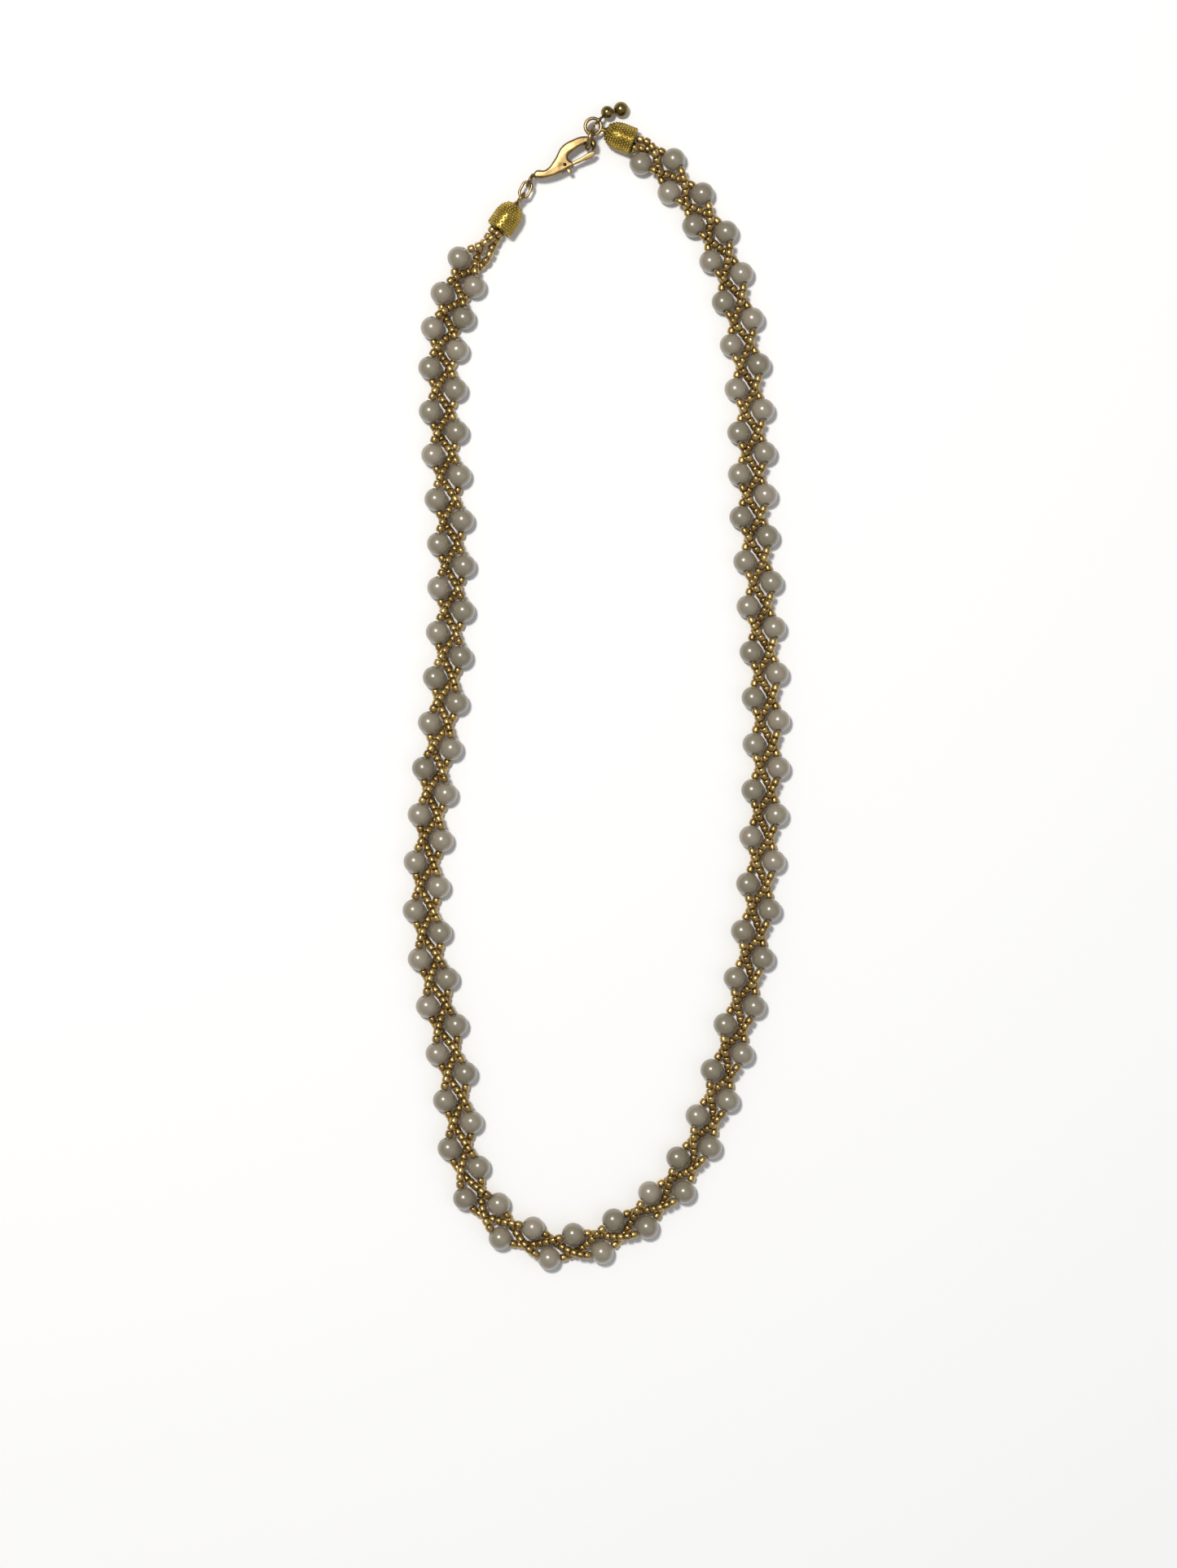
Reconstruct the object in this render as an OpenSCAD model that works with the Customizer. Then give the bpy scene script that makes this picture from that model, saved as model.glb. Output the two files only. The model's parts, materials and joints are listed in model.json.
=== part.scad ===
// Plaited pearl necklace, lying closed on a table: three strands of gold seed beads and pearls
// plaited flat, so that every strand turns round at a pearl on one edge and then on the other.

/* [Pearls] */
// Diameter of a pearl
pearl_d = 4.0; // [3.6:0.1:4.8]
// Drilled hole through a pearl
pearl_bore = 0.6; // [0.5:0.05:0.8]

/* [Gold seed beads] */
// Diameter of a seed bead
seed_d = 1.45; // [1.2:0.05:1.6]
// Length of a seed bead along its thread
seed_len = 1.12; // [0.95:0.01:1.3]
// Hole through a seed bead
seed_bore = 0.55; // [0.45:0.05:0.65]
// Free space between a pearl and the seed bead beside it
seed_gap = 0.16; // [0.12:0.01:0.3]

/* [Thread] */
// Diameter of the beading thread
thread_d = 0.2; // [0.15:0.05:0.25]

/* [Plait] */
// Number of pitches of the plait, one pearl on the outer edge for each
plait_pitches = 51; // [49:1:53]
// Gap between a pearl and the strand that passes it
strand_clear = 0.14; // [0.05:0.01:0.2]
// Gap between two strands where one crosses over the other
crossing_clear = 0.1; // [0.05:0.01:0.3]

/* [End caps] */
// Diameter of a cap over its granules
cap_d = 4.9; // [4.4:0.1:5.9]
// Length of a cap
cap_len = 5.0; // [4.2:0.1:6.0]
// Wall of a cap
cap_wall = 0.45; // [0.35:0.05:0.55]
// Diameter of a granule on a cap
granule_d = 0.5; // [0.4:0.05:0.6]
// Number of granules in each row round a cap
cap_granules = 14; // [10:1:16]

/* [Links] */
// Wire of the eye pins
pin_wire = 0.6; // [0.5:0.05:0.7]
// Wire of the small oval link at the left cap
link_wire = 0.5; // [0.4:0.05:0.6]
// Inner length of the oval link
link_inside = 2.3; // [2.1:0.1:2.8]
// Inner width of the oval link
link_width = 1.1; // [1.0:0.05:1.5]
// Wire of the ring that the clasp hooks into
hook_ring_wire = 0.8; // [0.7:0.05:0.95]
// Inner diameter of that ring
hook_ring_bore = 3.2; // [3.1:0.1:3.9]
// Running clearance between linked wires
link_clear = 0.15; // [0.1:0.05:0.25]
// Bare pin between the right cap and its eye
right_stand = 0.7; // [0.3:0.1:1.2]

/* [Clasp] */
// Length of the clasp's hole, where the ring hangs
hole_len = 4.6; // [4.0:0.1:5.6]
// Width of that hole
hole_w = 1.6; // [1.5:0.05:1.8]
// Width of the spine beside the hole
spine_w = 1.75; // [1.4:0.05:2.1]
// Width of the nose at the end of the hole
nose_w = 1.0; // [0.8:0.05:1.2]
// Length from the tail eye to the hole
tail_len = 7.5; // [6.9:0.1:9.0]
// Thickness of the clasp
clasp_thick = 1.8; // [1.5:0.1:2.2]
// Thickness of the lever in its slot
lever_thick = 0.9; // [0.7:0.1:1.0]
// Diameter of the rivet that the lever turns on
rivet_d = 0.7; // [0.6:0.05:0.8]
// Radial clearance of the rivet in the lever
rivet_clear = 0.03; // [0.02:0.01:0.06]

/* [End drop] */
// Diameter of the small ball
ball_small_d = 2.2; // [1.9:0.1:2.6]
// Diameter of the large ball
ball_large_d = 2.6; // [2.3:0.1:3.1]
// Wire of the pin through the balls
drop_wire = 0.45; // [0.4:0.05:0.5]

/* [Hidden] */

// The chain of links that closes the necklace, from the left cap to the right cap: each
// direction is an angle on the table, measured from +X.
left_cap_dir = 55;
link_dir = 63;
clasp_dir = 28;
hook_dir = 75;
right_cap_dir = -21;
function along_dir(a) = [cos(a), sin(a)];
eye_bore = link_wire + 2 * link_clear + 0.7;
right_eye_bore = hook_ring_wire + drop_wire + 4 * link_clear + 0.3;
left_eye_reach = cap_len + eye_bore / 2 + pin_wire + 0.1;
right_eye_reach = cap_len + right_eye_bore / 2 + pin_wire + right_stand;
link_slack = (eye_bore - link_wire) / 2 - link_clear;
link_mid = (link_inside + link_wire) / 2;
hook_mid = (hook_ring_bore + hook_ring_wire) / 2;
hook_seat = [tail_len + hole_len - hole_w / 2 - 0.1, 0.2];
function turned(p, a) = [p[0] * cos(a) - p[1] * sin(a), p[0] * sin(a) + p[1] * cos(a)];

// The route of the middle of the plait on the table, from the left cap round the front
// and up to the right cap.
chosen_route = [
    [-16.8, 78.8], [-19.5, 75.4], [-22.3, 72], [-24.6, 66.3], [-26.1, 60.5], [-26.5, 53.6],
    [-26.4, 46], [-25.9, 38.3], [-25.4, 30.6], [-25, 22.9], [-25.1, 15.2], [-25.4, 7.5],
    [-26, -0.4], [-26.9, -8.1], [-27.9, -15.8], [-28.6, -24], [-29.3, -32.3], [-29.2, -40.4],
    [-28.1, -48.4], [-26.7, -56.2], [-25.1, -64], [-23.9, -72.3], [-23, -80.7], [-19.9, -88.4],
    [-13.8, -93.8], [-6, -96.1], [1.8, -94.3], [8.7, -89.8], [14.4, -83.8], [18.4, -76.1],
    [21.1, -68.3], [23.5, -60.4], [25.4, -52.2], [26.8, -43.9], [27.8, -35.9], [28.4, -27.7],
    [28.8, -19.5], [29.1, -11.5], [29, -3.6], [28.7, 4.4], [28.2, 12.4], [27.7, 20.2],
    [27, 27.8], [26.7, 35.1], [26.6, 42.2], [26.2, 49.4], [25.5, 56.9], [24.3, 64.6],
    [22.3, 72.1], [19.5, 78.9], [15.4, 84.9], [10.5, 90.5], [6.2, 93.9]
];
route_last = len(chosen_route) - 1;

// The two caps stand as far apart as the links between them need, and the plait gives way
// evenly along its length.
closing = (left_eye_reach + link_slack) * along_dir(left_cap_dir)
    + (2 * link_mid + link_slack) * along_dir(link_dir)
    + turned(hook_seat, clasp_dir)
    + 2 * hook_mid * along_dir(hook_dir)
    + right_eye_reach * along_dir(right_cap_dir);
give = closing - (chosen_route[route_last] - chosen_route[0]);
shift = [0.13, -0.445];
route = [
    for (i = [0:route_last]) chosen_route[i] + shift + give * (i / route_last - 0.5)
];
samples = 6;

// A smooth curve through four neighbouring points, for f from 0 at p1 to 1 at p2.
function curve(p0, p1, p2, p3, f) =
    0.5 * (2 * p1 + (p2 - p0) * f + (2 * p0 - 5 * p1 + 4 * p2 - p3) * f * f
    + (3 * p1 - p0 - 3 * p2 + p3) * f * f * f);
path = [
    for (i = [0:route_last - 1], k = [0:samples - 1])
        curve(route[max(0, i - 1)], route[i], route[i + 1],
            route[min(route_last, i + 2)], k / samples),
    route[route_last]
];
path_last = len(path) - 1;
along = [
    for (i = 0, s = 0; i <= path_last; i = i + 1,
        s = s + (i <= path_last ? norm(path[i] - path[i - 1]) : 0)) s
];
plait_len = along[path_last];
table_x = [for (i = [0:path_last]) [along[i], path[i][0]]];
table_y = [for (i = [0:path_last]) [along[i], path[i][1]]];
function on_route(s) = [lookup(s, table_x), lookup(s, table_y)];

function unit(v) = v / norm(v);
function heading(s) = unit(on_route(min(plait_len, s + 0.5)) - on_route(max(0, s - 0.5)));
function outward(h) = [h[1], -h[0]];

// Distance along the route at pitch t. The plait is drawn tighter near its ends: these leads,
// in pitches, say how far ahead of an even plait each place is.
leads = [
    [0, 0], [1, 0.02], [2, -0.2], [3, -0.45], [4, -0.62], [6, -0.73], [10, -0.79], [14, -0.75],
    [18, -0.58], [22, -0.33], [26, -0.12], [30, 0.15], [34, 0.39], [38, 0.5], [41, 0.51], [44, 0.3],
    [47, 0.28], [49, 0.15], [50.5, 0.08], [51, 0]
];
leads_end = leads[len(leads) - 1][0];
function distance_at(t) =
    plait_len / plait_pitches * (t + lookup(t * leads_end / plait_pitches, leads));
function pitch_at(t) = distance_at(t + 0.5) - distance_at(t - 0.5);

// Half the distance between the two rows of pearls, so that the strand between two pearls of
// one row and the pearl of the other row stay strand_clear apart.
function row_for(pitch, guess, tries) =
    let (slope = atan(2 * guess / pitch))
    let (next = (pearl_d / 2 + seed_d / 2 + strand_clear - sin(slope) * pitch / 4) / cos(slope))
    tries == 0 ? next : row_for(pitch, next, tries - 1);
row_table = [
    for (t = [1:1:plait_pitches - 1]) [t, row_for(pitch_at(t), pearl_d / 2, 8)]
];
crossing_rise = (seed_d + crossing_clear) / sqrt(3);
cap_z = cap_d / 2;
left_flare = [0.25, 1];
right_flare = [0, 0.55];
left_plaited = [0.4, 1];
right_plaited = [0.5, 0.9];
function smooth(f) = let (g = min(1, max(0, f))) g * g * (3 - 2 * g);
function between(x, limits) = smooth((x - limits[0]) / (limits[1] - limits[0]));
function flare(t) = between(t, left_flare) * between(plait_pitches - t, right_flare);
function plaited(t) = between(t, left_plaited) * between(plait_pitches - t, right_plaited);
function row_at(t) = crossing_rise + (lookup(t, row_table) - crossing_rise) * flare(t);
function middle_z(t) = cap_z + (pearl_d / 2 - cap_z) * flare(t);

// Where strand j (0 to 2) is at pitch t. In the plait it swings from edge to edge and goes over
// and under; at the caps the three strands only turn round each other.
function rise_at(j, t) =
    let (f = plaited(t))
    -crossing_rise * ((1 - f) * sin(120 * (t - j)) + f * sin(240 * (t - j)));
function strand_at(j, t) =
    let (s = distance_at(t), h = heading(s), p = on_route(s), o = outward(h))
    let (u = row_at(t) * cos(120 * (t - j)))
    [p[0] + o[0] * u, p[1] + o[1] * u, middle_z(t) + rise_at(j, t)];
function step_at(j, t) =
    (strand_at(j, min(plait_pitches, t + 0.02)) - strand_at(j, max(0, t - 0.02)))
    / (min(plait_pitches, t + 0.02) - max(0, t - 0.02));

// The pearls of a strand, as pitches along the plait: every one and a half pitches.
first_pearl = 1;
last_pearl = plait_pitches - 0.5;
function pearl_pitches(j) = [
    for (t = [j - 3:1.5:plait_pitches]) if (t >= first_pearl && t <= last_pearl) t
];
function is_outer(t) = abs(t - round(t)) < 0.1;

// The seed beads of a strand: each stretch between two pearls is filled evenly.
seed_pitch = seed_len + 0.025;
cap_slack = 0.1;
stretch_steps = 12;
function stretch_seeds(j, from, to, slack) =
    let (places = [for (i = [0:stretch_steps]) from + (to - from) * i / stretch_steps])
    let (points = [for (t = places) strand_at(j, t)])
    let (runs = [
        for (i = 0, s = 0; i <= stretch_steps; i = i + 1,
            s = s + (i <= stretch_steps ? norm(points[i] - points[i - 1]) : 0)) [s, places[i]]
    ])
    let (total = runs[stretch_steps][0], count = floor(total / (seed_pitch + slack)))
    [for (i = [0:count - 1]) lookup(total * (i + 0.5) / count, runs)];
pearl_reach = pearl_d / 2 + seed_gap / 2;
function reach_from(j, t, way) =
    let (near = pearl_reach / norm(step_at(j, t)) * way)
    t + near * pearl_reach / norm(strand_at(j, t + near) - strand_at(j, t));
function after_pearl(j, t) = reach_from(j, t, 1);
function before_pearl(j, t) = reach_from(j, t, -1);
function seed_stretches(j) =
    let (p = pearl_pitches(j), n = len(p))
    [
        stretch_seeds(j, 0.02, before_pearl(j, p[0]), cap_slack),
        for (i = [0:n - 2])
            stretch_seeds(j, after_pearl(j, p[i]), before_pearl(j, p[i + 1]), 0),
        stretch_seeds(j, after_pearl(j, p[n - 1]), plait_pitches - 0.02, 0)
    ];
strand_stretches = [for (j = [0:2]) seed_stretches(j)];
function strand_seeds(j) = [for (stretch = strand_stretches[j], t = stretch) t];

// Where the plait bends: pitches at which one strand crosses the middle of the plait.
bends = [2.75, 20.75, 29.75, 47.75];
limits = concat([0], bends, [plait_pitches]);
function in_part(t, k) = t >= limits[k] && t < limits[k + 1];

// A thread runs straight through the hole of each pearl and through the middle of each seed
// bead. A part's thread ends flush with its last bead, short of the next part's first bead.
mouth_reach = pearl_d / 2 * 0.94;
seed_end = seed_len / 2 - 0.05;
function strand_beads(j) =
    let (p = pearl_pitches(j), stretches = strand_stretches[j])
    [
        for (i = [0:len(stretches) - 1], t = concat(i == 0 ? [] : [p[i - 1]], stretches[i])) t
    ];
function has_pearl(j, t) = len([for (p = pearl_pitches(j)) if (abs(p - t) < 0.01) p]) > 0;
function bead_end(j, t, way) =
    strand_at(j, t) + unit(step_at(j, t)) * way * (has_pearl(j, t) ? mouth_reach : seed_end);
function points_in(j, t) =
    has_pearl(j, t) ? [bead_end(j, t, -1), bead_end(j, t, 1)] : [strand_at(j, t)];
knot_d = 2.2;
knot_at = cap_len * 0.5;
thread_start = knot_at - knot_d / 2 + 0.25;
function thread_line(j, k) =
    let (beads = [for (t = strand_beads(j)) if (in_part(t, k)) t])
    let (first = beads[0], last = beads[len(beads) - 1])
    concat(
        k == 0 ? [left_point(thread_start, j, 0)] : [],
        has_pearl(j, first) ? [] : [bead_end(j, first, -1)],
        [for (t = beads, p = points_in(j, t)) p],
        has_pearl(j, last) ? [] : [bead_end(j, last, 1)],
        k == 4 ? [right_point(thread_start, j, plait_pitches)] : []
    );

// A round thread swept along a line of points.
thread_sides = 6;
function ring_round(p, run) =
    let (side = unit(cross(run, [0, 0, 1])), top = cross(side, unit(run)))
    [
        for (n = [0:thread_sides - 1])
            p + thread_d / 2 * (cos(360 * n / thread_sides) * side
            + sin(360 * n / thread_sides) * top)
    ];
module swept(line) {
    last = len(line) - 1;
    points = [
        for (i = [0:last])
            each ring_round(line[i], line[min(last, i + 1)] - line[max(0, i - 1)])
    ];
    sides = [
        for (i = [0:last - 1], n = [0:thread_sides - 1])
            let (a = i * thread_sides + n, b = i * thread_sides + (n + 1) % thread_sides)
            each [[a, b, b + thread_sides], [a, b + thread_sides, a + thread_sides]]
    ];
    polyhedron(
        points = points,
        faces = concat(
            sides,
            [[for (n = [thread_sides - 1:-1:0]) n]],
            [[for (n = [0:thread_sides - 1]) last * thread_sides + n]]
        ),
        convexity = 4
    );
}

// Places along the closing chain, each at the height of the caps.
left_mouth = route[0];
right_mouth = route[route_last];
left_eye = left_mouth + left_eye_reach * along_dir(left_cap_dir);
link_center = left_eye + link_slack * along_dir(left_cap_dir)
    + link_mid * along_dir(link_dir);
clasp_tail = link_center + (link_mid + link_slack) * along_dir(link_dir);
hook_point = clasp_tail + turned(hook_seat, clasp_dir);
hook_center = hook_point + hook_mid * along_dir(hook_dir);
right_eye = hook_point + 2 * hook_mid * along_dir(hook_dir);
function left_point(depth, j, t) =
    let (o = outward(-along_dir(left_cap_dir)))
    [
        left_mouth[0] + depth * cos(left_cap_dir) + o[0] * 0.5 * cos(120 * (t - j)),
        left_mouth[1] + depth * sin(left_cap_dir) + o[1] * 0.5 * cos(120 * (t - j)),
        cap_z - 0.5 * sin(120 * (t - j))
    ];
function right_point(depth, j, t) =
    let (o = outward(along_dir(right_cap_dir + 180)))
    [
        right_mouth[0] - depth * cos(right_cap_dir) + o[0] * 0.5 * cos(120 * (t - j)),
        right_mouth[1] - depth * sin(right_cap_dir) + o[1] * 0.5 * cos(120 * (t - j)),
        cap_z - 0.5 * sin(120 * (t - j))
    ];

module placed(at, run) {
    translate(at)
        rotate([0, acos(run[2] / norm(run)), atan2(run[1], run[0])])
            children();
}

module pearl(at, run) {
    placed(at, run)
        difference() {
            sphere(d = pearl_d, $fn = 48);
            cylinder(d = pearl_bore, h = pearl_d + 1, center = true, $fn = 24);
        }
}

seed_end_r = 1.1;
module seed(at, run) {
    placed(at, run)
        difference() {
            intersection() {
                sphere(d = seed_d, $fn = 20);
                translate([0, 0, seed_end_r - seed_len / 2]) sphere(r = seed_end_r, $fn = 32);
                translate([0, 0, seed_len / 2 - seed_end_r]) sphere(r = seed_end_r, $fn = 32);
            }
            cylinder(d = seed_bore, h = seed_d + 1, center = true, $fn = 16);
        }
}

module pearls(outer, k) {
    color(outer ? "#b9ae98" : "#b3a993")
        for (j = [0:2], t = pearl_pitches(j))
            if (is_outer(t) == outer && in_part(t, k))
                pearl(strand_at(j, t), step_at(j, t));
}

module seeds(j, k) {
    color("#b08a3c")
        for (t = strand_seeds(j))
            if (in_part(t, k))
                seed(strand_at(j, t), step_at(j, t));
}

module threads(k) {
    color("#cbb892")
        for (j = [0:2])
            swept(thread_line(j, k));
}

// A cap stands on its mouth here, and its closed end is up.
granule_stand = 0.15;
cap_r = cap_d / 2 - granule_stand;
cap_outline = [[0.95, 0], [0.99, 0.15], [1, 0.35], [1, 0.55], [0.9, 0.75], [0.7, 0.9], [0.45, 1]];
module cap_shape() {
    difference() {
        rotate_extrude($fn = 48)
            polygon(concat(
                [[0, cap_len], [0, 0]],
                [for (p = cap_outline) [p[0] * cap_r, p[1] * cap_len]]
            ));
        rotate_extrude($fn = 48)
            polygon(concat(
                [[0, cap_len - cap_wall], [0, -1], [cap_outline[0][0] * cap_r - cap_wall, -1]],
                [
                    for (p = cap_outline)
                        [
                            max(0.1, p[0] * cap_r - cap_wall),
                            min(cap_len - cap_wall, p[1] * cap_len)
                        ]
                ]
            ));
        cylinder(d = pin_wire + 0.1, h = cap_len + 1, $fn = 24);
    }
    for (row = [1:4])
        let (o = cap_outline[row], p = cap_outline[row + 1], f = 0.3)
        for (n = [0:cap_granules - 1])
            rotate([0, 0, 360 * (n + row / 2) / cap_granules])
                translate([
                    (o[0] * (1 - f) + p[0] * f) * cap_r + granule_stand - granule_d / 2, 0,
                    (o[1] * (1 - f) + p[1] * f) * cap_len
                ])
                    sphere(d = granule_d, $fn = 16);
}

module at_cap(mouth, direction) {
    translate([mouth[0], mouth[1], cap_z])
        rotate([0, 90, direction])
            children();
}

module left_cap() {
    color("#c79a35") at_cap(left_mouth, left_cap_dir) cap_shape();
}

module right_cap() {
    color("#a98434") at_cap(right_mouth, right_cap_dir + 180) cap_shape();
}

module ring(bore, wire) {
    rotate_extrude($fn = 48)
        translate([(bore + wire) / 2, 0])
            circle(d = wire, $fn = 20);
}

// An eye pin: a shank from the knot out through the cap, ending in an eye at the given reach.
module eye_pin(reach, bore, flat) {
    translate([0, 0, reach])
        rotate(flat ? [0, 90, 0] : [90, 0, 0])
            ring(bore, pin_wire);
    translate([0, 0, knot_at])
        cylinder(d = pin_wire, h = reach - knot_at - bore / 2 - pin_wire * 0.3, $fn = 20);
}

module left_eye_pin() {
    color("#b08a3c") at_cap(left_mouth, left_cap_dir) eye_pin(left_eye_reach, eye_bore, false);
}

module right_eye_pin() {
    color("#b08a3c")
        at_cap(right_mouth, right_cap_dir + 180)
            eye_pin(right_eye_reach, right_eye_bore, true);
}

module knot_shape() {
    translate([0, 0, knot_at])
        difference() {
            sphere(d = knot_d, $fn = 32);
            cylinder(d = pin_wire, h = knot_d, $fn = 20);
        }
}

module left_knot() {
    color("#cbb892") at_cap(left_mouth, left_cap_dir) knot_shape();
}

module right_knot() {
    color("#cbb892") at_cap(right_mouth, right_cap_dir + 180) knot_shape();
}

module link_ring() {
    straight = link_inside - link_width;
    color("#b08a3c")
        translate([link_center[0], link_center[1], cap_z])
            rotate([0, 0, link_dir])
                for (side = [-1, 1]) {
                    translate([side * straight / 2, 0, 0])
                        rotate([0, 0, side * -90])
                            rotate_extrude(angle = 180, $fn = 48)
                                translate([(link_width + link_wire) / 2, 0])
                                    circle(d = link_wire, $fn = 20);
                    translate([0, side * (link_width + link_wire) / 2, 0])
                        rotate([0, 90, 0])
                            cylinder(d = link_wire, h = straight, center = true, $fn = 20);
                }
}

hook_z = hook_mid + hook_ring_wire / 2;
module hook_ring() {
    color("#9c7a35")
        translate([hook_center[0], hook_center[1], hook_z])
            rotate([90, 0, hook_dir])
                ring(hook_ring_bore, hook_ring_wire);
}

// The clasp lies flat with its tail eye at the origin and its nose along +X. Its spine is on
// the +Y side of the hole and its lever on the other.
clasp_z = cap_z;
hole_end = tail_len + hole_len;
hole_y = [0.1, 0.25];
pivot = [tail_len - 1, -0.5];
pivot_r = 0.75;
gate_x = tail_len + 0.3;
gate_end = hole_end + 0.2;
gate_clear = 0.1;
gate_w = 0.7;
slot_back = 1.05;
below = -4;
module clasp_frame() {
    translate([clasp_tail[0], clasp_tail[1], clasp_z])
        rotate([0, 0, clasp_dir])
            children();
}

module slab(thick) {
    linear_extrude(height = thick, center = true)
        children();
}

module hole_outline() {
    hull() {
        translate([tail_len + hole_w / 2, hole_y[0]]) circle(d = hole_w, $fn = 32);
        translate([hole_end - hole_w / 2, hole_y[1]]) circle(d = hole_w, $fn = 32);
    }
}

// The outline widens from the neck behind the tail eye to the head round the hole.
neck_start = [1.5, 0.25];
neck_end = [3.1, -0.4];
neck_r = 0.7;
shoulder = [tail_len - 1.9, -0.1];
shoulder_r = 1.35;
head_r = (hole_w + spine_w + gate_w) / 2;
head_y = hole_y[0] + spine_w / 2 - gate_w / 2;
nose_r = hole_w / 2 + nose_w - 0.25;
module clasp_outline() {
    hull() {
        translate(neck_start) circle(r = neck_r, $fn = 32);
        translate(neck_end) circle(r = neck_r, $fn = 32);
    }
    hull() {
        translate(neck_end) circle(r = neck_r, $fn = 32);
        translate(shoulder) circle(r = shoulder_r, $fn = 48);
    }
    hull() {
        translate(shoulder) circle(r = shoulder_r, $fn = 48);
        translate([gate_x, head_y]) circle(r = head_r, $fn = 48);
    }
    hull() {
        translate([gate_x, head_y]) circle(r = head_r, $fn = 48);
        translate([tail_len + hole_len * 0.48, head_y + 0.1]) circle(r = head_r, $fn = 48);
        translate([hole_end + nose_w - nose_r, hole_y[1] + 0.5]) circle(r = nose_r, $fn = 48);
    }
}

module clasp_body() {
    color("#a9853b")
        clasp_frame() {
            difference() {
                slab(clasp_thick) clasp_outline();
                slab(clasp_thick + 1) hole_outline();
                slab(clasp_thick + 1)
                    translate([gate_x, below])
                        square([gate_end - gate_x, hole_y[0] - hole_w / 2 + 0.2 - below]);
                slab(lever_thick + 2 * gate_clear) {
                    translate(pivot) circle(r = pivot_r + gate_clear, $fn = 32);
                    translate([pivot[0] - slot_back, below])
                        square([gate_end - pivot[0] + slot_back, pivot[1] + 0.2 - below]);
                }
                translate([pivot[0], pivot[1], 0])
                    cylinder(d = rivet_d, h = clasp_thick + 1, center = true, $fn = 32);
            }
            rotate([90, 0, link_dir - clasp_dir]) ring(eye_bore, pin_wire);
        }
}

gate_y = hole_y[0] - hole_w / 2 - gate_w / 2;
module clasp_lever() {
    color("#b8903f")
        clasp_frame()
            difference() {
                slab(lever_thick) {
                    translate(pivot) circle(r = pivot_r, $fn = 32);
                    hull() {
                        translate([pivot[0] + 0.3, pivot[1] - 0.3]) circle(r = 0.42, $fn = 24);
                        translate([gate_end - 0.1 - gate_w / 2, gate_y])
                            circle(d = gate_w, $fn = 24);
                    }
                    hull() {
                        translate([pivot[0] + 0.1, pivot[1] - 0.4]) circle(r = 0.35, $fn = 24);
                        translate([pivot[0] + 0.2, pivot[1] - 1.4]) circle(r = 0.35, $fn = 24);
                    }
                }
                translate([pivot[0], pivot[1], 0])
                    cylinder(
                        d = rivet_d + 2 * rivet_clear, h = clasp_thick, center = true, $fn = 32
                    );
                translate([pivot[0], pivot[1], lever_thick / 2 - spring_wire])
                    cylinder(r = spring_r + spring_wire / 2 + 0.02, h = 1, $fn = 32);
            }
}

module clasp_rivet() {
    color("#8a6d30")
        clasp_frame()
            translate([pivot[0], pivot[1], 0])
                cylinder(d = rivet_d, h = clasp_thick, center = true, $fn = 32);
}

spring_wire = 0.2;
spring_r = rivet_d / 2 + spring_wire / 2 + 0.05;
module clasp_spring() {
    color("#8f8f8a")
        clasp_frame()
            translate([pivot[0], pivot[1], lever_thick / 2 - spring_wire / 2])
                rotate_extrude($fn = 32)
                    translate([spring_r, 0])
                        circle(d = spring_wire - 0.04, $fn = 16);
}

// The drop hangs from the right eye: a bent pin through two balls that touch.
drop_dir = 46;
ball_dir = 14;
drop_eye_bore = pin_wire + 2 * link_clear;
drop_eye = right_eye + (right_eye_bore / 2 + pin_wire / 2) * along_dir(drop_dir);
drop_len = drop_eye_bore / 2 + drop_wire + ball_small_d / 2 + 0.1;
small_at = [
    drop_eye[0] + drop_len * cos(drop_dir), drop_eye[1] + drop_len * sin(drop_dir),
    cap_z - 0.5
];
ball_step = (ball_small_d + ball_large_d) / 2 + 0.05;
large_at = [
    small_at[0] + ball_step * cos(ball_dir), small_at[1] + ball_step * sin(ball_dir),
    ball_large_d / 2 + 0.02
];
drop_start = [drop_eye[0], drop_eye[1], cap_z];
module wire(from, to, d) {
    placed(from, to - from) cylinder(d = d, h = norm(to - from), $fn = 20);
}

drop_into = unit(small_at - drop_start);
drop_on = unit(large_at - small_at);
bend_over = 0.2;
module drop_wires(extra) {
    wire(
        drop_start + drop_into * (drop_eye_bore / 2 + drop_wire / 2),
        small_at + drop_into * (bend_over + extra / 2), drop_wire + extra
    );
    wire(small_at - drop_on * (bend_over + extra / 2), large_at, drop_wire + extra);
}

module drop_pin() {
    color("#b08a3c") {
        translate(drop_start)
            rotate([90, 0, drop_dir])
                ring(drop_eye_bore, drop_wire);
        drop_wires(0);
    }
}

module drop_ball(at, d) {
    difference() {
        translate(at) sphere(d = d, $fn = 40);
        drop_wires(0.04);
    }
}

module drop_ball_small() {
    color("#b08a3c") drop_ball(small_at, ball_small_d);
}

module drop_ball_large() {
    color("#b08a3c") drop_ball(large_at, ball_large_d);
}

pearls(true, 0);  // pearls_outer_left_end
pearls(true, 1);  // pearls_outer_left_side
pearls(true, 2);  // pearls_outer_front
pearls(true, 3);  // pearls_outer_right_side
pearls(true, 4);  // pearls_outer_right_end
pearls(false, 0);  // pearls_inner_left_end
pearls(false, 1);  // pearls_inner_left_side
pearls(false, 2);  // pearls_inner_front
pearls(false, 3);  // pearls_inner_right_side
pearls(false, 4);  // pearls_inner_right_end
seeds(0, 0);  // seeds_a_left_end
seeds(0, 1);  // seeds_a_left_side
seeds(0, 2);  // seeds_a_front
seeds(0, 3);  // seeds_a_right_side
seeds(0, 4);  // seeds_a_right_end
seeds(1, 0);  // seeds_b_left_end
seeds(1, 1);  // seeds_b_left_side
seeds(1, 2);  // seeds_b_front
seeds(1, 3);  // seeds_b_right_side
seeds(1, 4);  // seeds_b_right_end
seeds(2, 0);  // seeds_c_left_end
seeds(2, 1);  // seeds_c_left_side
seeds(2, 2);  // seeds_c_front
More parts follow.
